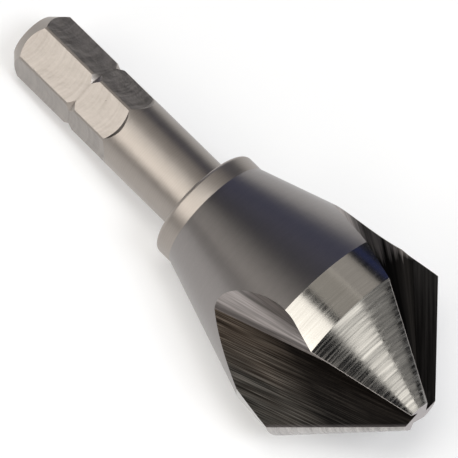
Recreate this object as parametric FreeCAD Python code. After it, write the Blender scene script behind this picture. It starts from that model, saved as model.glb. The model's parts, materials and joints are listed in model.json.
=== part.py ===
import FreeCAD, Part
import math
import os

# Three-flute 90 degree countersink bit with a quarter-inch hexagon shank.
# One steel bar, turned, milled and ground.  Sizes are in millimetres and degrees.
# It is built standing on its shank end along +Z, with the first cutting edge over +X,
# and is laid down on its own contact points at the end of the file.

# Whole bit
overall_length = 50.3

# Hexagon shank
hex_across_flats = 6.35
bar_diameter = 7.2
end_face_diameter = 4.84
end_chamfer_length = 1.35
hex_length = 12.85
flat_mill_radius = 3.9
run_out_angle = 45.0
hex_turn = -6.9

# Detent notch across the six corners
notch_from_end = 8.1
notch_width = 1.0
notch_bottom_diameter = 6.66

# Collar and flare behind the teeth
collar_diameter = 11.56
collar_length = 1.85
collar_edge_radius = 0.4
neck_radius = 0.25
flare_length = 13.4

# Cutting head
head_diameter = 20.8
land_rear_diameter = 20.3
land_length = 4.35
point_angle = 90.0
tip_diameter = 4.06
tooth_count = 3
relief_offset = 0.39

# Flute: a flat rake face and a flat heel face that meet at a corner near the tip,
# with a gullet that opens like a cone from that corner towards the shank.
corner_offset = 1.34
corner_turn = -23.7
corner_below_tip = 1.28
heel_face_turn = -5.4
heel_face_lean = 17.1
gullet_on_heel_face = 0.461
gullet_on_rake_face = 0.503
gullet_pull = 0.129
gullet_fullness = 0.54

# The side that is turned to the floor, between two teeth, and how closely it is followed
resting_turn = 153.0
contact_size = 0.02

# Worked out from the sizes above
bar_radius = bar_diameter / 2
head_radius = head_diameter / 2
tip_radius = tip_diameter / 2
point_slope = math.tan(math.radians(point_angle / 2))
point_length = (head_radius - tip_radius) / point_slope
land_front = overall_length - point_length
land_rear = land_front - land_length
collar_front = land_rear - flare_length
collar_rear = collar_front - collar_length
apex_height = overall_length + tip_radius / point_slope
tooth_pitch = 360.0 / tooth_count
reach = head_diameter * 2
AXIS = FreeCAD.Vector(0, 0, 1)
ORIGIN = FreeCAD.Vector(0, 0, 0)


def polar(radius, turn, height):
    """Point at a radius and an angle round the bit's axis."""
    angle = math.radians(turn)
    return FreeCAD.Vector(radius * math.cos(angle), radius * math.sin(angle), height)


def turned(shape, turn):
    """Copy of a shape turned about the bit's axis."""
    copy = shape.copy()
    copy.rotate(ORIGIN, AXIS, turn)
    return copy


def profile_point(radius, height):
    """Point of the turned profile, in the XZ plane."""
    return FreeCAD.Vector(radius, 0, height)


def profile_arc(start, centre, end, radius):
    """Quarter round of the profile from start to end about centre."""
    middle = (start + end) / 2 - centre
    middle.normalize()
    return Part.Arc(start, centre + middle * radius, end).toShape()


# Turned blank
def turned_blank():
    """Bar, collar, flare, land and cone turned in one profile."""
    collar_radius = collar_diameter / 2
    neck_start = profile_point(bar_radius, collar_rear - neck_radius)
    neck_end = profile_point(bar_radius + neck_radius, collar_rear)
    neck_centre = profile_point(bar_radius + neck_radius, collar_rear - neck_radius)
    edge_start = profile_point(collar_radius - collar_edge_radius, collar_rear)
    edge_end = profile_point(collar_radius, collar_rear + collar_edge_radius)
    edge_centre = profile_point(collar_radius - collar_edge_radius, collar_rear + collar_edge_radius)
    shank_points = [
        profile_point(0, 0),
        profile_point(end_face_diameter / 2, 0),
        profile_point(bar_radius, end_chamfer_length),
        neck_start,
    ]
    head_points = [
        edge_end,
        profile_point(collar_radius, collar_front),
        profile_point(land_rear_diameter / 2, land_rear),
        profile_point(head_radius, land_front),
        profile_point(tip_radius, overall_length),
        profile_point(0, overall_length),
        profile_point(0, 0),
    ]
    edges = Part.makePolygon(shank_points).Edges
    edges.append(profile_arc(neck_start, neck_centre, neck_end, neck_radius))
    edges.append(Part.makeLine(neck_end, edge_start))
    edges.append(profile_arc(edge_start, edge_centre, edge_end, collar_edge_radius))
    edges.extend(Part.makePolygon(head_points).Edges)
    return Part.Face(Part.Wire(edges)).revolve(ORIGIN, AXIS, 360)


# Hexagon milled on the bar
def flat_cutter():
    """End mill at the end of its run along one flat, and the run behind it.

    The corner of the mill is chamfered, so the flat ends in a sloping run-out.
    """
    depth = hex_across_flats / 2
    rise = bar_radius
    stop = hex_length - flat_mill_radius
    widening = rise / math.tan(math.radians(run_out_angle))
    centre = FreeCAD.Vector(depth, 0, stop)
    outward = FreeCAD.Vector(1, 0, 0)
    mill = Part.makeCone(flat_mill_radius, flat_mill_radius + widening, rise, centre, outward)
    mill.rotate(centre, outward, 180)
    corner = FreeCAD.Vector(depth, -flat_mill_radius, -flat_mill_radius)
    run = Part.makeBox(rise, 2 * flat_mill_radius, stop + flat_mill_radius, corner)
    return mill.fuse(run)


def cut_hexagon(shape):
    """Six flats round the bar's rear end."""
    cutter = flat_cutter()
    flats = [turned(cutter, hex_turn + 60 * index) for index in range(6)]
    return shape.cut(flats)


def cut_notch(shape):
    """Detent notch: a V turned just deep enough to cross the six corners."""
    bottom = notch_bottom_diameter / 2
    slope = (notch_width / 2) / (bar_radius - bottom)
    outer = bar_diameter
    half = (outer - bottom) * slope
    corners = [
        profile_point(bottom, notch_from_end),
        profile_point(outer, notch_from_end - half),
        profile_point(outer, notch_from_end + half),
        profile_point(bottom, notch_from_end),
    ]
    ring = Part.Face(Part.makePolygon(corners)).revolve(ORIGIN, AXIS, 360)
    return shape.cut(ring)


# Relief ground behind each cutting edge
def relief_cutter():
    """What the wheel removes behind the first cutting edge.

    The wheel follows the same cone with its axis set aside, so the surface falls away from
    the edge towards the heel.
    """
    height = overall_length - collar_rear
    base = FreeCAD.Vector(0, relief_offset, apex_height - height)
    cone = Part.makeCone(height * point_slope, 0, height, base, AXIS)
    start = turned(Part.makeLine(ORIGIN, polar(reach, 0, 0)), tooth_pitch / 4 - tooth_pitch)
    sector = start.revolve(ORIGIN, AXIS, tooth_pitch)
    sector.translate(FreeCAD.Vector(0, 0, land_rear))
    block = sector.extrude(FreeCAD.Vector(0, 0, reach))
    return block.cut(cone)


def grind_relief(shape):
    """Relief on every tooth."""
    cutter = relief_cutter()
    teeth = [turned(cutter, tooth_pitch * index) for index in range(tooth_count)]
    return shape.cut(teeth)


# Flutes
def flute_frame():
    """Corner point of the first flute, the directions along its faces and its corner line."""
    corner = polar(corner_offset, corner_turn, overall_length - corner_below_tip)
    apex = FreeCAD.Vector(0, 0, apex_height)
    edge = FreeCAD.Vector(point_slope, 0, -1)
    rake_normal = edge.cross(corner - apex)
    if rake_normal.y < 0:
        rake_normal = rake_normal * -1
    rake_normal.normalize()
    lean = math.radians(heel_face_lean)
    heel_normal = polar(math.cos(lean), heel_face_turn, math.sin(lean))
    rearward = heel_normal.cross(rake_normal)
    if rearward.z > 0:
        rearward = rearward * -1
    rearward.normalize()
    along_heel = heel_normal.cross(rearward)
    if along_heel.dot(rake_normal) < 0:
        along_heel = along_heel * -1
    along_rake = rake_normal.cross(rearward)
    if along_rake.dot(heel_normal) < 0:
        along_rake = along_rake * -1
    return corner, along_heel, along_rake, rearward


def corner_fill(corner, along_heel, along_rake, rearward):
    """Metal left in the corner between the two flat faces: the gullet's curved floor."""
    length = reach
    base = corner + rearward * length
    on_heel = base + along_heel * (length * gullet_on_heel_face)
    on_rake = base + along_rake * (length * gullet_on_rake_face)
    pull = base + along_rake * (length * gullet_pull)
    floor = Part.BezierCurve()
    floor.setPoles([on_heel, pull, on_rake])
    floor.setWeight(2, gullet_fullness)
    floor_edge = floor.toShape()
    floor_face = Part.makeLoft([Part.Vertex(corner), Part.Wire([floor_edge])], False, True).Faces
    heel_side = Part.Face(Part.makePolygon([corner, base, on_heel, corner]))
    rake_side = Part.Face(Part.makePolygon([corner, base, on_rake, corner]))
    end_wire = Part.Wire([floor_edge, Part.makeLine(on_rake, base), Part.makeLine(base, on_heel)])
    end = Part.Face(end_wire)
    shell = Part.makeShell(floor_face + [heel_side, rake_side, end])
    shell.sewShape()
    return Part.Solid(shell)


def flute_cutter():
    """Wedge between the rake face and the heel face, less the metal left in its corner."""
    corner, along_heel, along_rake, rearward = flute_frame()
    start = corner - rearward * reach
    outline = [
        start,
        start + along_heel * reach,
        start + (along_heel + along_rake) * reach,
        start + along_rake * reach,
        start,
    ]
    wedge = Part.Face(Part.makePolygon(outline)).extrude(rearward * (reach * 1.9))
    return wedge.cut(corner_fill(corner, along_heel, along_rake, rearward))


def cut_flutes(shape):
    """The same flute cut once for each tooth."""
    cutter = flute_cutter()
    flutes = [turned(cutter, tooth_pitch * index) for index in range(tooth_count)]
    return shape.cut(flutes)


# Lying at rest
def roll_over(points, pivot, hinge, down, ahead):
    """Roll about a hinge on the floor towards ahead until one more point touches."""
    touching = None
    least = math.pi
    for point in points:
        offset = point - pivot
        if offset.cross(hinge).Length < contact_size:
            continue
        angle = math.atan2(abs(offset.dot(down)), offset.dot(ahead))
        if angle < least:
            least = angle
            touching = point
    return touching, down * math.cos(least) + ahead * math.sin(least)


def unit(vector):
    """Direction of a vector."""
    return vector / vector.Length


def overhang(support, centre, down):
    """Edge of the support triangle that the centre of mass lies beyond, if any."""
    for index in range(3):
        start, end, other = support[index], support[index - 1], support[index - 2]
        hinge = unit(end - start)
        outward = unit(hinge.cross(down))
        if outward.dot(other - start) > 0:
            outward = outward * -1
        if outward.dot(centre - start) > contact_size / 10:
            return start, end, hinge, outward
    return None


def floor_normal(shape, down):
    """Direction of the floor once the bit has rolled onto three points and lies still."""
    points = shape.tessellate(contact_size)[0]
    centre = shape.CenterOfMass
    first = max(points, key=lambda point: point.dot(down))
    level = centre - first
    ahead = unit(level - down * level.dot(down))
    second, down = roll_over(points, first, unit(ahead.cross(down)), down, ahead)
    hinge = unit(second - first)
    ahead = unit(hinge.cross(down))
    if ahead.dot(centre - first) < 0:
        ahead = ahead * -1
    third, down = roll_over(points, first, hinge, down, ahead)
    support = [first, second, third]
    beyond = overhang(support, centre, down)
    while beyond:
        start, end, hinge, ahead = beyond
        third, down = roll_over(points, start, hinge, down, ahead)
        support = [start, end, third]
        beyond = overhang(support, centre, down)
    return unit(down)


def lay_down(shape):
    """Turn the bit onto its floor and put the origin below the middle of its box."""
    down = floor_normal(shape, polar(1, resting_turn, 0))
    up = down * -1
    ahead = unit(AXIS - down * AXIS.dot(down))
    side = up.cross(ahead)
    turn = FreeCAD.Rotation(ahead, side, up, "ZXY").inverted()
    lying = shape.copy()
    lying.Placement = FreeCAD.Placement(ORIGIN, turn).multiply(lying.Placement)
    box = lying.optimalBoundingBox(False, False)
    shift = FreeCAD.Vector(-box.Center.x, -box.Center.y, -box.ZMin)
    lying.translate(shift)
    return lying, FreeCAD.Placement(shift, turn)


def countersink_bit():
    """The whole bit in the order it is made."""
    shape = turned_blank()
    shape = cut_hexagon(shape)
    shape = cut_notch(shape)
    shape = grind_relief(shape)
    shape = cut_flutes(shape)
    return shape.removeSplitter().Solids[0]


standing = countersink_bit()
bit, placement = lay_down(standing)
os.makedirs("parts", exist_ok=True)
bit.exportStep("parts/countersink_bit.step")
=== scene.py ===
import json
import math

import bpy
from mathutils import Matrix, Vector


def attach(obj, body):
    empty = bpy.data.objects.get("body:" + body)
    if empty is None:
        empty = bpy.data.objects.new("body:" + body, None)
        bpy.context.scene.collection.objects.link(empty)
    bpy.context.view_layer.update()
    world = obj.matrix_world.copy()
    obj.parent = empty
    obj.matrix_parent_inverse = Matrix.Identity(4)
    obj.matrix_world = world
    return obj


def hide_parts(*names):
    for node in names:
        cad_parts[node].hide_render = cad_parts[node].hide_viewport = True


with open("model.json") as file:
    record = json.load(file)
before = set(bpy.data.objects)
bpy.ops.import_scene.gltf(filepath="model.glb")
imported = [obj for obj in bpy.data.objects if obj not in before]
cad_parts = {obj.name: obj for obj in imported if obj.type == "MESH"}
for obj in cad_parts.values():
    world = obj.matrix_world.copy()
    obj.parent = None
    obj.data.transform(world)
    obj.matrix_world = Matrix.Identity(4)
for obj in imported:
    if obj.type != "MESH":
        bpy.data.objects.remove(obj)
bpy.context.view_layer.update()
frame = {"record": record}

# The bit is drawn in millimetres along its own axis, shank end first.  It is then rolled round
# that axis and laid down, so that its shank end comes to the frame's mount of that name.
MM = 0.001
BIT_ROLL = math.radians(-144.4698)
shank_end = next(mount for mount in frame["record"]["mounts"] if mount["name"] == "shank_end")
to_tip = -Vector(shank_end["axis"])
BIT_POSE = (Matrix.Translation(Vector(shank_end["pos_m"]) / MM)
            @ Matrix.Rotation(math.atan2(to_tip.x, to_tip.z), 4, "Y")
            @ Matrix.Rotation(BIT_ROLL, 4, "Z"))

# The camera looks down at the bit over its cutting end, from half a metre away with a long lens.
# Its place is given out from the bit's axis, aside and along it, and its turn is round that axis.
QUARTER = math.radians(90.0)
CAMERA_PLACE = Vector((522.98, 0.02, 179.43))
CAMERA_TURN = math.radians(-14.83)
CAMERA_TILT = math.radians(16.367)
CAMERA_ROLL = math.radians(134.5224)
PICTURE_WIDTH = 458.0
LENS_IN_PIXELS = 6105.0
camera_pose = (BIT_POSE @ Matrix.Rotation(CAMERA_TURN, 4, "Z") @ Matrix.Translation(CAMERA_PLACE)
               @ Matrix.Rotation(QUARTER, 4, "Z") @ Matrix.Rotation(QUARTER - CAMERA_TILT, 4, "X")
               @ Matrix.Rotation(CAMERA_ROLL, 4, "Z"))
camera_pose.translation = camera_pose.translation * MM
camera = bpy.data.objects.new("camera", bpy.data.cameras.new("camera"))
camera.data.sensor_width = 36.0
camera.data.lens = LENS_IN_PIXELS / PICTURE_WIDTH * camera.data.sensor_width
camera.data.clip_end = 20.0
camera.matrix_world = camera_pose
bpy.context.scene.collection.objects.link(camera)
bpy.context.scene.camera = camera
bpy.context.scene.view_settings.view_transform = "Standard"


# The turned blank: one bar of tool steel turned to its round shank, collar, flare, land and
# 90 degree point, with a V notch for the holder's ball.  Its cutting end is then relieved
# behind each edge on a grinder whose axis is set aside from the bit's.
class Wire:
    """A number on its way through a node tree.  Arithmetic on it adds Math nodes."""

    def __init__(self, tree, socket):
        self.tree = tree
        self.socket = socket

    def math(self, operation, *others):
        made = self.tree.nodes.new("ShaderNodeMath")
        made.operation = operation
        for slot, value in zip(made.inputs, (self, *others)):
            plug(self.tree, slot, value)
        return Wire(self.tree, made.outputs[0])

    def __add__(self, other):
        return self.math("ADD", other)

    def __radd__(self, other):
        return self.math("ADD", other)

    def __sub__(self, other):
        return self.math("SUBTRACT", other)

    def __rsub__(self, other):
        return (self * -1.0) + other

    def __mul__(self, other):
        return self.math("MULTIPLY", other)

    def __rmul__(self, other):
        return self.math("MULTIPLY", other)

    def __truediv__(self, other):
        return self.math("DIVIDE", other)

    def __rtruediv__(self, other):
        return (self ** -1.0) * other

    def __pow__(self, other):
        return self.math("POWER", other)

    def __gt__(self, other):
        return self.math("GREATER_THAN", other)

    def __lt__(self, other):
        return self.math("LESS_THAN", other)

    def clamp(self):
        return self.math("MAXIMUM", 0.0).math("MINIMUM", 1.0)


def plug(tree, slot, value):
    """Put a constant or a wire on a node's input."""
    if isinstance(value, Wire):
        value = value.socket
    if isinstance(value, bpy.types.NodeSocket):
        tree.links.new(value, slot)
    else:
        slot.default_value = value


def add(tree, kind, settings=None, **inputs):
    """Add a node: its settings first, then its inputs, named with _ for a space."""
    made = tree.nodes.new(kind)
    for name, value in (settings or {}).items():
        setattr(made, name, value)
    for name, value in inputs.items():
        plug(tree, made.inputs[name.replace("_", " ")], value)
    return made


def split(tree, vector):
    """The three numbers of a vector."""
    parts = add(tree, "ShaderNodeSeparateXYZ", Vector=vector)
    return [Wire(tree, out) for out in parts.outputs]


def join(tree, x, y, z):
    """A vector of three numbers."""
    return add(tree, "ShaderNodeCombineXYZ", X=x, Y=y, Z=z).outputs[0]


def profile_arc(centre, radius, start, stop, steps=12):
    """Points of a rounded corner of the turned profile, as radius and distance along the bit."""
    turns = [math.radians(start + (stop - start) * step / steps) for step in range(steps + 1)]
    return [(centre[0] + radius * math.cos(t), centre[1] + radius * math.sin(t)) for t in turns]


SHANK_RADIUS = 3.6
END_RADIUS = 2.42
END_CHAMFER = 1.35
NOTCH_PLACE = 8.1
NOTCH_RADIUS = 3.33
NOTCH_REACH = 0.5
COLLAR_REAR = 22.33
COLLAR_FRONT = 24.18
COLLAR_RADIUS = 5.78
COLLAR_ROUNDING = 0.4
NECK_FILLET = 0.25
LAND_REAR = 37.58
LAND_FRONT = 41.93
LAND_REAR_RADIUS = 10.15
HEAD_RADIUS = 10.4
TIP_PLANE = 50.3
TIP_RADIUS = 2.03
APEX = TIP_PLANE + TIP_RADIUS
turned_profile = [(0.0, 0.0), (END_RADIUS, 0.0), (SHANK_RADIUS, END_CHAMFER)]
turned_profile += [(SHANK_RADIUS, NOTCH_PLACE - NOTCH_REACH), (NOTCH_RADIUS, NOTCH_PLACE)]
turned_profile += [(SHANK_RADIUS, NOTCH_PLACE + NOTCH_REACH)]
turned_profile += profile_arc(
    (SHANK_RADIUS + NECK_FILLET, COLLAR_REAR - NECK_FILLET), NECK_FILLET, 180, 90)
turned_profile += profile_arc(
    (COLLAR_RADIUS - COLLAR_ROUNDING, COLLAR_REAR + COLLAR_ROUNDING), COLLAR_ROUNDING, -90, 0)
turned_profile += [(COLLAR_RADIUS, COLLAR_FRONT), (LAND_REAR_RADIUS, LAND_REAR)]
turned_profile += [(HEAD_RADIUS, LAND_FRONT)]
turned_profile += [(radius, APEX - radius) for radius in (8.0, 6.0, 4.5, 3.4, 2.6)]
turned_profile += [(TIP_RADIUS, TIP_PLANE), (0.0, TIP_PLANE)]


def new_making(name, **sizes):
    """A geometry tree with a named input for each size.  Returns the tree, its entry and its inputs."""
    tree = bpy.data.node_groups.new(name, "GeometryNodeTree")
    tree.interface.new_socket("Geometry", in_out="INPUT", socket_type="NodeSocketGeometry")
    tree.interface.new_socket("Geometry", in_out="OUTPUT", socket_type="NodeSocketGeometry")
    kinds = {int: "NodeSocketInt", float: "NodeSocketFloat", Vector: "NodeSocketVector"}
    for label, value in sizes.items():
        tree.interface.new_socket(label, in_out="INPUT", socket_type=kinds[type(value)])
    entry = tree.nodes.new("NodeGroupInput")
    return tree, entry.outputs[0], {label: Wire(tree, entry.outputs[label]) for label in sizes}


def close_making(tree, geometry, finishes):
    """End a tree: everything made real, and each finish laid on the faces that it is for."""
    geometry = add(tree, "GeometryNodeRealizeInstances", Geometry=geometry).outputs[0]
    for material, selection in finishes:
        laid = add(
            tree, "GeometryNodeSetMaterial", Geometry=geometry, Material=material, Selection=selection)
        geometry = laid.outputs[0]
    tree.links.new(geometry, tree.nodes.new("NodeGroupOutput").inputs[0])


def put_making(piece, tree, sizes):
    """Give a piece the tree as a modifier, with its sizes."""
    modifier = piece.modifiers.new(tree.name, "NODES")
    modifier.node_group = tree
    for item in tree.interface.items_tree:
        if item.name in sizes:
            value = sizes[item.name]
            modifier[item.identifier] = tuple(value) if isinstance(value, Vector) else value


def numbered(tree, columns):
    """The row and column of each point or face that is counted off in rows, safe from rounding."""
    index = Wire(tree, add(tree, "GeometryNodeInputIndex").outputs[0])
    row = ((index + 0.01) / columns).math("FLOOR")
    return row, index - row * columns


def bare_steel(name):
    """A bare steel finish.  Returns it, its tree, its shader and each point's place on the bit in mm."""
    material = bpy.data.materials.new(name)
    material.use_nodes = True
    tree = material.node_tree
    tree.nodes.clear()
    shader = add(tree, "ShaderNodeBsdfPrincipled", Metallic=1.0)
    add(tree, "ShaderNodeOutputMaterial", Surface=shader.outputs[0])
    back = BIT_POSE.inverted()
    place = add(tree, "ShaderNodeMapping", {"vector_type": "POINT"}, Location=back.translation,
                Vector=add(tree, "ShaderNodeTexCoord").outputs["Object"],
                Rotation=back.to_euler(), Scale=(1.0 / MM, 1.0 / MM, 1.0 / MM))
    return material, tree, shader, place.outputs[0]


def grain(tree, vector, detail=3.0, gain=1.0):
    """Uneven steel: a number from 0 to 1 that wanders about a half."""
    made = add(tree, "ShaderNodeTexNoise", Vector=vector, Scale=1.0, Detail=detail, Roughness=0.6)
    spread = (Wire(tree, made.outputs[0]) - 0.5) * gain + 0.5
    return spread.clamp()


def blend(tree, share, first, second):
    """The colour that lies between two."""
    made = add(tree, "ShaderNodeMix", {"data_type": "RGBA"}, Factor=share)
    for slot, color in ((made.inputs[6], first), (made.inputs[7], second)):
        plug(tree, slot, (*color, 1.0) if isinstance(color, tuple) else color)
    return made.outputs[2]


def dress(tree, shader, color, gloss, height):
    """Lay a colour, a gloss and a relief in millimetres on a steel finish."""
    plug(tree, shader.inputs["Base Color"], color)
    plug(tree, shader.inputs["Roughness"], gloss)
    bump = add(tree, "ShaderNodeBump", Distance=MM, Height=height)
    plug(tree, shader.inputs["Normal"], bump.outputs[0])


TURNING_FEED = 0.22
turned_steel, tree, shader, place = bare_steel("turned_steel")
x, y, z = split(tree, place)
lines = grain(tree, join(tree, x * 0.3, y * 0.3, z * 7.0))
clouds = grain(tree, join(tree, x * 0.5, y * 0.5, z * 0.5))
feed = (z * (2 * math.pi / TURNING_FEED)).math("SINE")
dark, light = (0.302, 0.273, 0.25), (0.384, 0.349, 0.318)
color = blend(tree, lines * 0.6 + clouds * 0.4 + feed * 0.08, dark, light)
dress(tree, shader, color, lines * 0.10 + 0.36, lines * 0.006)

flare_steel, tree, shader, place = bare_steel("flare_steel")
x, y, z = split(tree, place)
lines = grain(tree, join(tree, x * 0.5, y * 0.5, z * 4.0))
speckle = grain(tree, join(tree, x * 7.0, y * 7.0, z * 7.0))
color = blend(tree, lines * 0.5 + speckle * 0.5, (0.219, 0.206, 0.2), (0.288, 0.268, 0.26))
dress(tree, shader, color, speckle * 0.08 + 0.30, speckle * 0.006 + lines * 0.002)

land_steel, tree, shader, place = bare_steel("ground_land_steel")
x, y, z = split(tree, place)
lines = grain(tree, join(tree, x * 0.12, y * 0.12, z * 6.0), detail=1.0, gain=2.0)
waves = grain(tree, join(tree, x * 0.12, y * 0.12, z * 4.0 + 9.0), detail=1.0)
color = blend(tree, lines, (0.325, 0.316, 0.30), (0.392, 0.381, 0.362))
dress(tree, shader, color, lines * 0.06 + 0.13, waves * 0.001)

cone_steel, cone_tree, cone_shader, cone_place = bare_steel("ground_cone_steel")
x, y, z = split(cone_tree, cone_place)
x, y = x * 0.14, y * 0.14
lines = grain(cone_tree, join(cone_tree, x, y, z * 6.0), detail=1.0, gain=2.4)
streaks = grain(cone_tree, join(cone_tree, x, y, z * 4.5 + 9.0), detail=1.0, gain=2.6)
waves = grain(cone_tree, join(cone_tree, x, y, z * 4.5 + 30.0), detail=0.0)
cone_color = blend(cone_tree, streaks, (0.262, 0.257, 0.248), (0.44, 0.431, 0.413))
cone_gloss = lines * 0.25 + 0.09
cone_shader.inputs["Specular Tint"].default_value = (0.89, 0.87, 0.87, 1.0)
dress(cone_tree, cone_shader, cone_color, cone_gloss, waves * 0.003)

tip_steel, tree, shader, place = bare_steel("ground_tip_steel")
x, y, z = split(tree, place)
lines = grain(tree, join(tree, x * 5.0, y * 0.8, z))
color = blend(tree, lines, (0.331, 0.304, 0.304), (0.396, 0.368, 0.368))
dress(tree, shader, color, lines * 0.10 + 0.30, lines * 0.006)

blank_sizes = {
    "Segments": 240, "Teeth": 3, "Relief offset": 0.39, "Apex": APEX,
    "Land front": LAND_FRONT,
    "Land taper": (HEAD_RADIUS - LAND_REAR_RADIUS) / (LAND_FRONT - LAND_REAR)}
blank, profile, size = new_making("turned blank", **blank_sizes)
rows = Wire(blank, add(blank, "GeometryNodeAttributeDomainSize", Geometry=profile).outputs["Point Count"])
around = size["Segments"] + 1.0
skin = add(blank, "GeometryNodeMeshGrid", Vertices_X=rows, Vertices_Y=around).outputs[0]
row, column = numbered(blank, around)
position = add(blank, "GeometryNodeInputPosition").outputs[0]
sample = add(blank, "GeometryNodeSampleIndex", {"data_type": "FLOAT_VECTOR"}, Geometry=profile, Index=row)
plug(blank, sample.inputs["Value"], position)
radius, _, along = split(blank, sample.outputs[0])
angle = column / size["Segments"] * (2 * math.pi)
# The angle from a tooth's edge is negative behind it, for three quarters of the teeth's pitch.
# There the cone is ground to a circle of its own radius, but with its centre set aside.
pitch = 2 * math.pi / size["Teeth"]
trailing = pitch * 0.75
counted = angle + trailing
from_edge = counted - (counted / pitch).math("FLOOR") * pitch - trailing
circle = size["Apex"] - along
aside = size["Relief offset"] * from_edge.math("COSINE")
straight = (circle * circle - aside * aside).math("MAXIMUM", 0.0) ** 0.5
reach = size["Relief offset"] * from_edge.math("SINE") + straight
relief = circle - reach.math("MINIMUM", circle)
# The corner of cone and land moves back along the land instead.
on_cone = along > size["Land front"] + 0.01
on_corner = (along - size["Land front"]).math("ABSOLUTE") < 0.01
set_back = on_corner * relief / (size["Land taper"] + 1.0)
radius = radius * (1.0 - on_cone * relief / circle) - set_back * size["Land taper"]
skin = add(blank, "GeometryNodeSetPosition", Geometry=skin, Position=join(
    blank, radius * angle.math("COSINE"), radius * angle.math("SINE"), along - set_back)).outputs[0]
skin = add(blank, "GeometryNodeMergeByDistance", Geometry=skin, Distance=1e-5).outputs[0]
height = split(blank, position)[2]
close_making(blank, skin, [
    (turned_steel, True), (flare_steel, height > COLLAR_FRONT), (land_steel, height > LAND_REAR),
    (cone_steel, height > LAND_FRONT), (tip_steel, height > TIP_PLANE - 0.01)])

bit_mesh = bpy.data.meshes.new("bit")
bit_mesh.from_pydata([(r, 0.0, z) for r, z in turned_profile],
                     [(i, i + 1) for i in range(len(turned_profile) - 1)], [])
bit = bpy.data.objects.new("bit", bit_mesh)
bpy.context.scene.collection.objects.link(bit)
put_making(bit, blank, blank_sizes)


# The hexagon: six flats milled along the bar's rear end with an end mill whose corner is
# chamfered, so each flat ends in a rounded, sloping run-out and shows the mill's curved marks.
# Where the notch's tool brushed each flat, a faint line of painted shade stands for its shallow crease.
MILL_RADIUS = 3.9
CREASE_SHADE_WIDTH = 0.18
HEX_TURN = math.radians(-6.9)


def folded(tree, vector, count, start):
    """Turn equal sectors round the axis onto one.  Returns the point there and the sector's number."""
    x, y, z = split(tree, vector)
    sector = 2 * math.pi / count
    number = ((y.math("ARCTAN2", x) - start) / sector).math("FLOOR")
    turned = add(tree, "ShaderNodeVectorRotate", {"rotation_type": "Z_AXIS"},
                 Vector=vector, Angle=number * -sector)
    return turned.outputs[0], number


flat_steel, tree, shader, place = bare_steel("milled_flat_steel")
on_flat, number = folded(tree, place, 6, HEX_TURN - math.radians(30.0))
square = add(tree, "ShaderNodeVectorRotate", {"rotation_type": "Z_AXIS"},
             Vector=on_flat, Angle=-HEX_TURN)
_, y, z = split(tree, square.outputs[0])
sweep = z - (MILL_RADIUS ** 2 - (y * y).math("MINIMUM", MILL_RADIUS ** 2 - 0.1)) ** 0.5
marks = grain(tree, join(tree, sweep * 3.0, y * 0.15, number * 7.7), detail=1.0, gain=2.0)
clouds = grain(tree, join(tree, sweep * 0.6, y * 0.5, number * 3.1 + 5.0), gain=2.2)
# Painted shade along the shallow crease that the notch's tool left across each flat.
crease_shade = (1.0 - (z - NOTCH_PLACE).math("ABSOLUTE") / CREASE_SHADE_WIDTH).math("MAXIMUM", 0.0)
dark, light = (0.186, 0.169, 0.156), (0.372, 0.341, 0.317)
color = blend(tree, marks * 0.5 + clouds * 0.5 - crease_shade * 0.3, dark, light)
dress(tree, shader, color, marks * 0.08 + clouds * 0.12 + 0.25, marks * 0.006 + clouds * 0.03)


def cut_round(tree, bar, tool, count, turn):
    """Cut copies of a tool out of the bar, spread evenly round its axis from a first turn."""
    stations = add(tree, "GeometryNodeMeshLine", Count=count, Offset=(0.0, 0.0, 0.0)).outputs[0]
    number = Wire(tree, add(tree, "GeometryNodeInputIndex").outputs[0])
    tools = add(tree, "GeometryNodeInstanceOnPoints", Points=stations, Instance=tool, Rotation=join(
        tree, 0.0, 0.0, number / count * (2 * math.pi) + turn)).outputs[0]
    tools = add(tree, "GeometryNodeRealizeInstances", Geometry=tools).outputs[0]
    cut = add(tree, "GeometryNodeMeshBoolean", {"operation": "DIFFERENCE", "solver": "EXACT"},
              Self_Intersection=True)
    plug(tree, cut.inputs["Mesh 1"], bar)
    plug(tree, cut.inputs["Mesh 2"], tools)
    return cut.outputs["Mesh"]


milling_sizes = {
    "Flats": 6, "Across flats": 6.35, "Hex length": 12.85, "Mill radius": MILL_RADIUS,
    "Chamfer depth": 4.0, "Turn": HEX_TURN}
milling, bar, size = new_making("milled hexagon", **milling_sizes)
mill = add(milling, "GeometryNodeMeshCone", Vertices=128, Depth=size["Chamfer depth"],
           Radius_Bottom=size["Mill radius"], Radius_Top=size["Mill radius"] + size["Chamfer depth"])
mill = mill.outputs["Mesh"]
# The front half of the mill stops at the flat's end, and its rear half is drawn out past the bar.
forward, sideways, outward = split(milling, add(milling, "GeometryNodeInputPosition").outputs[0])
rearward_run = (forward < -1e-4) * (size["Hex length"] + size["Mill radius"])
mill = add(milling, "GeometryNodeSetPosition", Geometry=mill, Position=join(
    milling, outward + size["Across flats"] * 0.5, sideways * -1.0,
    size["Hex length"] - size["Mill radius"] + forward - rearward_run)).outputs[0]
mill = add(milling, "GeometryNodeStoreNamedAttribute", {"data_type": "INT", "domain": "FACE"},
           Geometry=mill, Name="milled", Value=1).outputs[0]
hexagon = cut_round(milling, bar, mill, size["Flats"], size["Turn"])
milled = add(milling, "GeometryNodeInputNamedAttribute", {"data_type": "INT"}, Name="milled").outputs[0]
close_making(milling, hexagon, [(flat_steel, milled)])
put_making(bit, milling, milling_sizes)


# The three flutes: each is ground to a flat rake face and a flat heel face that meet in a
# corner near the tip, and from that corner the gullet opens like a cone towards the shank.
CORNER_RADIUS = 1.34
CORNER_DEPTH = 1.28
CORNER_TURN = math.radians(-23.7)
HEEL_TURN = math.radians(-5.4)
HEEL_LEAN = math.radians(17.1)
FLUTE_START = math.radians(-27.0)
flute_corner = Vector((
    CORNER_RADIUS * math.cos(CORNER_TURN), CORNER_RADIUS * math.sin(CORNER_TURN),
    TIP_PLANE - CORNER_DEPTH))
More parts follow.
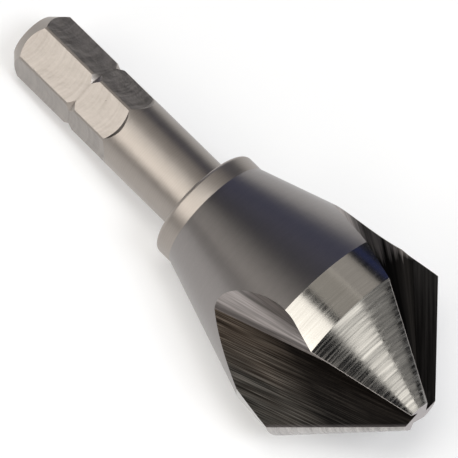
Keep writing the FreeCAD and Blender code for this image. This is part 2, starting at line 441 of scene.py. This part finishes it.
# The two faces give the flute's directions: back along the line where they meet, and out along
# each of them.
cutting_edge = Vector((1.0, 0.0, -1.0))
rake_normal = cutting_edge.cross(flute_corner - Vector((0.0, 0.0, APEX))).normalized()
rake_normal *= math.copysign(1.0, rake_normal.y)
heel_level = math.cos(HEEL_LEAN)
heel_normal = Vector((
    heel_level * math.cos(HEEL_TURN), heel_level * math.sin(HEEL_TURN), math.sin(HEEL_LEAN)))
rearward = heel_normal.cross(rake_normal).normalized()
rearward *= math.copysign(1.0, -rearward.z)
along_heel = heel_normal.cross(rearward).normalized()
along_heel *= math.copysign(1.0, along_heel.dot(rake_normal))
along_rake = rake_normal.cross(rearward).normalized()
along_rake *= math.copysign(1.0, along_rake.dot(heel_normal))


def product(tree, first, second):
    """How far one vector runs along another."""
    made = add(tree, "ShaderNodeVectorMath", {"operation": "DOT_PRODUCT"})
    plug(tree, made.inputs[0], first)
    plug(tree, made.inputs[1], second)
    return Wire(tree, made.outputs["Value"])


def from_corner(tree, place):
    """The way from a flute's corner to a point near it, and the flute's number."""
    near, number = folded(tree, place, 3, FLUTE_START)
    moved = add(tree, "ShaderNodeVectorMath", {"operation": "SUBTRACT"})
    plug(tree, moved.inputs[0], near)
    plug(tree, moved.inputs[1], flute_corner)
    return moved.outputs[0], number


def flute_place(tree, place):
    """A point of a flute: how far behind the corner, along the heel and along the rake face."""
    moved, number = from_corner(tree, place)
    return [product(tree, moved, v) for v in (rearward, along_heel, along_rake)] + [number]


# A thin painted highlight runs along both edges of each tooth, where a rounded edge would catch the
# light.
EDGE_HIGHLIGHT_WIDTH = 0.10
moved, _ = from_corner(cone_tree, cone_place)
off_heel = product(cone_tree, moved, heel_normal).math("ABSOLUTE")
off_rake = product(cone_tree, moved, rake_normal).math("ABSOLUTE")
edge_highlight = (1.0 - off_heel.math("MINIMUM", off_rake * 1.5) / EDGE_HIGHLIGHT_WIDTH).math("MAXIMUM", 0.0)
edge_highlight_color = blend(cone_tree, edge_highlight, cone_color, (0.46, 0.43, 0.42))
plug(cone_tree, cone_shader.inputs["Base Color"], edge_highlight_color)
plug(cone_tree, cone_shader.inputs["Roughness"], cone_gloss * (1.0 - edge_highlight) + edge_highlight * 0.7)

# The heel face is painted dark as shade, darkest near the flute's corner towards the tip, and brown on
# its inner side; a painted highlight runs along the cone's rim.
heel_steel, tree, shader, place = bare_steel("ground_heel_steel")
behind, on_heel, on_rake, number = flute_place(tree, place)
across = on_heel - behind * 0.47
lines = grain(tree, join(tree, across * 13.0, behind * 0.15, number * 9.1), detail=2.0, gain=2.8)
clouds = grain(tree, join(tree, across * 0.6, behind * 0.15, number * 3.3), gain=2.0)
# Painted shade, darkest near the flute's corner towards the tip.
corner_shade = ((14.5 - behind - across * 1.5) / 4.0).clamp() * (clouds * 0.3 + 0.68)
umber = ((5.0 - across) / 4.0).clamp() * 0.6 + clouds * 0.4
dark = blend(tree, umber, (0.034, 0.033, 0.030), (0.072, 0.05, 0.036))
light = blend(tree, umber, (0.26, 0.25, 0.226), (0.275, 0.215, 0.165))
color = blend(tree, corner_shade, blend(tree, lines ** 1.8, dark, light), (0.012, 0.011, 0.011))
x, y, z = split(tree, place)
under_cone = (APEX - z - (x * x + y * y) ** 0.5) * math.sqrt(0.5)
# A painted highlight along the cone's rim, where a narrow facet would catch the light.
rim_highlight = (1.0 - under_cone / 0.5).clamp() * 0.8
color = blend(tree, rim_highlight, color, (0.42, 0.38, 0.385))
dress(tree, shader, color, lines * 0.12 + 0.28, lines * 0.004)

# The gullet's lines fan out from the corner.  One flute's gullet is painted dark, as the shade deep in
# its hollow, but for its lip and its rear end.
gullet_steel, tree, shader, place = bare_steel("ground_gullet_steel")
behind, on_heel, on_rake, number = flute_place(tree, place)
far = behind.math("MAXIMUM", 0.2)
fan_heel, fan_rake, row = on_heel / far, on_rake / far, behind * 0.1 + number * 9.1
lines = grain(tree, join(tree, fan_heel * 38.0, fan_rake * 38.0, row), gain=2.4)
waves = grain(tree, join(tree, fan_heel * 16.0, fan_rake * 16.0, row), detail=1.0)
x, y, z = split(tree, place)
flare_slope = (LAND_REAR_RADIUS - COLLAR_RADIUS) / (LAND_REAR - COLLAR_FRONT)
inside = (z - COLLAR_FRONT) * flare_slope + COLLAR_RADIUS - (x * x + y * y) ** 0.5
lip = (1.0 - inside / 0.6).clamp() * 0.7
fade = ((15.6 - behind - lines * 2.5) / 1.5).clamp()
# Painted shade in one flute's hollow.
shaded_flute = number < -0.5
painted_shade = shaded_flute * (1.0 - lip) * fade * 0.96
gullet_tone = blend(tree, lines, (0.12, 0.11, 0.105), (0.46, 0.42, 0.405))
color = blend(tree, painted_shade, gullet_tone, (0.010, 0.0095, 0.009))
dress(tree, shader, color, lines * 0.10 + 0.28, waves * 0.02)

# The rake faces are painted near black, as the shade deep in the flutes.
rake_steel, tree, shader, place = bare_steel("ground_rake_steel")
behind, on_heel, on_rake, number = flute_place(tree, place)
across = on_rake - behind * 0.55
lines = grain(tree, join(tree, across * 4.0, behind * 0.12, number * 9.1), detail=4.0, gain=2.2)
waves = grain(tree, join(tree, across * 3.0, behind * 0.12, number * 9.1 + 4.0), detail=1.0)
color = blend(tree, lines, (0.026, 0.025, 0.026), (0.085, 0.08, 0.077))
dress(tree, shader, color, lines * 0.10 + 0.28, waves * 0.010)

grinding_sizes = {
    "Flutes": 3, "Steps": 16, "Arc steps": 40, "Corner": flute_corner, "Rearward": rearward,
    "Along heel": along_heel, "Along rake": along_rake, "Length": 25.0, "Lead in": 6.0, "Depth": 30.0,
    "On heel": 0.461, "On rake": 0.503, "Pull": 0.129, "Fullness": 0.54}
# What the wheel takes away is a closed skin.  A row of it starts on the heel face, follows the
# gullet's arc to the rake face and comes back far outside.  The rows run from ahead of the tip to
# the gullet's end, and the first and the last are each gathered to a point.
grinding, bar, size = new_making("ground flutes", **grinding_sizes)
across = size["Arc steps"] + 5.0
skin = add(grinding, "GeometryNodeMeshGrid", Vertices_X=size["Steps"] + 4.0, Vertices_Y=across).outputs[0]
row, column = numbered(grinding, across)
last = size["Steps"] + 3.0
travel = ((row - 2.0) / size["Steps"]).clamp() ** 1.5 * size["Length"]
spread = travel
travel = travel - (row < 1.5) * size["Lead in"]
column = column * (column < size["Arc steps"] + 3.5)
share = (column / size["Arc steps"]).math("MINIMUM", 1.0)
rest = 1.0 - share
middle = size["Fullness"] * 2.0 * share * rest
total = rest * rest + middle + share * share
on_arc = (column < size["Arc steps"] + 0.5) * spread / total
far_rake = (column > size["Arc steps"] + 0.5) * (column < size["Arc steps"] + 2.5) * size["Depth"]
far_heel = (column > size["Arc steps"] + 1.5) * size["Depth"]
heel_part = rest * rest * size["On heel"] * on_arc + far_heel
rake_part = (middle * size["Pull"] + share * share * size["On rake"]) * on_arc + far_rake
capped = (row < 0.5).math("MAXIMUM", row > last - 0.5)
heel_part = heel_part * (1.0 - capped) + capped * size["Depth"] * 0.5
rake_part = rake_part * (1.0 - capped) + capped * size["Depth"] * 0.5
place = size["Corner"].socket
for direction, length in (("Rearward", travel), ("Along heel", heel_part), ("Along rake", rake_part)):
    step = add(grinding, "ShaderNodeVectorMath", {"operation": "SCALE"},
               Vector=size[direction], Scale=length)
    moved = add(grinding, "ShaderNodeVectorMath", {"operation": "ADD"})
    plug(grinding, moved.inputs[0], place)
    plug(grinding, moved.inputs[1], step.outputs[0])
    place = moved.outputs[0]
_, column = numbered(grinding, across - 1.0)
kind = (column < size["Arc steps"] - 0.5) * 1.0 + (column > size["Arc steps"] - 0.5) * 2.0 + (
    column > size["Arc steps"] + 2.5)
skin = add(grinding, "GeometryNodeStoreNamedAttribute", {"data_type": "FLOAT", "domain": "FACE"},
           Geometry=skin, Name="ground", Value=kind).outputs[0]
skin = add(grinding, "GeometryNodeSetPosition", Geometry=skin, Position=place).outputs[0]
skin = add(grinding, "GeometryNodeMergeByDistance", Geometry=skin, Distance=1e-5).outputs[0]
fluted = cut_round(grinding, bar, skin, size["Flutes"], 0.0)
bend = Wire(grinding, add(grinding, "GeometryNodeInputMeshEdgeAngle").outputs["Unsigned Angle"])
smooth = add(grinding, "GeometryNodeSetShadeSmooth", {"domain": "FACE"},
             Geometry=fluted, Shade_Smooth=True)
sharp = add(grinding, "GeometryNodeSetShadeSmooth", {"domain": "EDGE"}, Geometry=smooth.outputs[0],
            Selection=bend > math.radians(10.0), Shade_Smooth=False)
ground = Wire(grinding, add(
    grinding, "GeometryNodeInputNamedAttribute", {"data_type": "FLOAT"}, Name="ground").outputs[0])
close_making(grinding, sharp.outputs[0], [
    (gullet_steel, ground > 0.5), (rake_steel, ground > 1.5), (heel_steel, ground > 2.5)])
put_making(bit, grinding, grinding_sizes)

depsgraph = bpy.context.evaluated_depsgraph_get()
finished = bpy.data.meshes.new_from_object(bit.evaluated_get(depsgraph))
bit.modifiers.clear()
bit.data = finished
for label in ("milled", "ground"):
    finished.attributes.remove(finished.attributes[label])
while finished.materials[0] is None:
    finished.materials.pop(index=0)
finished.transform(BIT_POSE)
finished.transform(Matrix.Diagonal((MM, MM, MM, 1.0)))
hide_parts("countersink_bit")
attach(bit, "root")


# The floor is one plain sheet of pale card, far wider than the picture.  It glows faintly, so
# that it stays almost white where the softboxes' light falls off.
floor_mesh = bpy.data.meshes.new("floor")
floor_mesh.from_pydata([(-3, -3, 0), (3, -3, 0), (3, 3, 0), (-3, 3, 0)], [], [(0, 1, 2, 3)])
floor = bpy.data.objects.new("floor", floor_mesh)
bpy.context.scene.collection.objects.link(floor)
card = bpy.data.materials.new("pale_card")
card.use_nodes = True
card_shader = card.node_tree.nodes["Principled BSDF"]
card_shader.inputs["Base Color"].default_value = (0.68, 0.68, 0.68, 1.0)
card_shader.inputs["Roughness"].default_value = 0.9
card_shader.inputs["Emission Color"].default_value = (1.0, 1.0, 1.0, 1.0)
card_shader.inputs["Emission Strength"].default_value = 0.3
floor_mesh.materials.append(card)


# The light is plain softboxes in a dim room: one low in front, two beyond the tip, one above and
# two beside the shank.  Weaker ones stand behind, on the far side, beside the tail and low on the
# right, and a broad blue one low on the far side gives the steel its cool shade.
def softbox(name, azimuth, elevation, width, height, power, color):
    """A soft box a metre away that faces the bit from a direction round the floor."""
    light = bpy.data.lights.new(name, "AREA")
    light.shape = "RECTANGLE"
    light.size = width
    light.size_y = height
    light.energy = power
    light.color = color
    box = bpy.data.objects.new(name, light)
    a, e = math.radians(azimuth), math.radians(elevation)
    place = Vector((math.cos(e) * math.cos(a), math.cos(e) * math.sin(a), math.sin(e)))
    box.location = place
    box.rotation_euler = place.to_track_quat("Z", "Y").to_euler()
    bpy.context.scene.collection.objects.link(box)


softbox("softbox_front", 320, 9, 0.40, 0.20, 2.55, (1.0, 0.92, 0.84))
softbox("softbox_tip", 10.5, 28, 0.42, 0.36, 0.90, (1.0, 0.97, 0.91))
softbox("softbox_tip_high", 0, 68, 0.36, 0.36, 3.77, (0.92, 0.95, 1.0))
softbox("softbox_above", 235, 82, 0.34, 0.34, 3.44, (1.0, 0.99, 0.97))
softbox("softbox_side", 228, 46, 0.38, 1.00, 3.22, (1.0, 0.97, 0.91))
softbox("softbox_shank", 248, 34, 0.22, 0.50, 1.44, (1.0, 0.96, 0.92))
softbox("softbox_back", 164, 60, 0.50, 0.22, 0.21, (1.0, 0.94, 0.85))
softbox("softbox_far", 137, 44, 0.50, 0.36, 0.36, (1.0, 0.94, 0.87))
softbox("softbox_rear", 201, 22, 0.55, 0.34, 0.31, (1.0, 0.97, 0.92))
softbox("softbox_low", 34, 17, 0.30, 0.20, 0.09, (1.0, 0.97, 0.92))
softbox("softbox_blue", 145, 17, 1.10, 0.44, 0.24, (0.16, 0.26, 1.0))
room = bpy.data.worlds.new("room")
room.use_nodes = True
room.node_tree.nodes["Background"].inputs["Color"].default_value = (0.026, 0.026, 0.028, 1.0)
bpy.context.scene.world = room
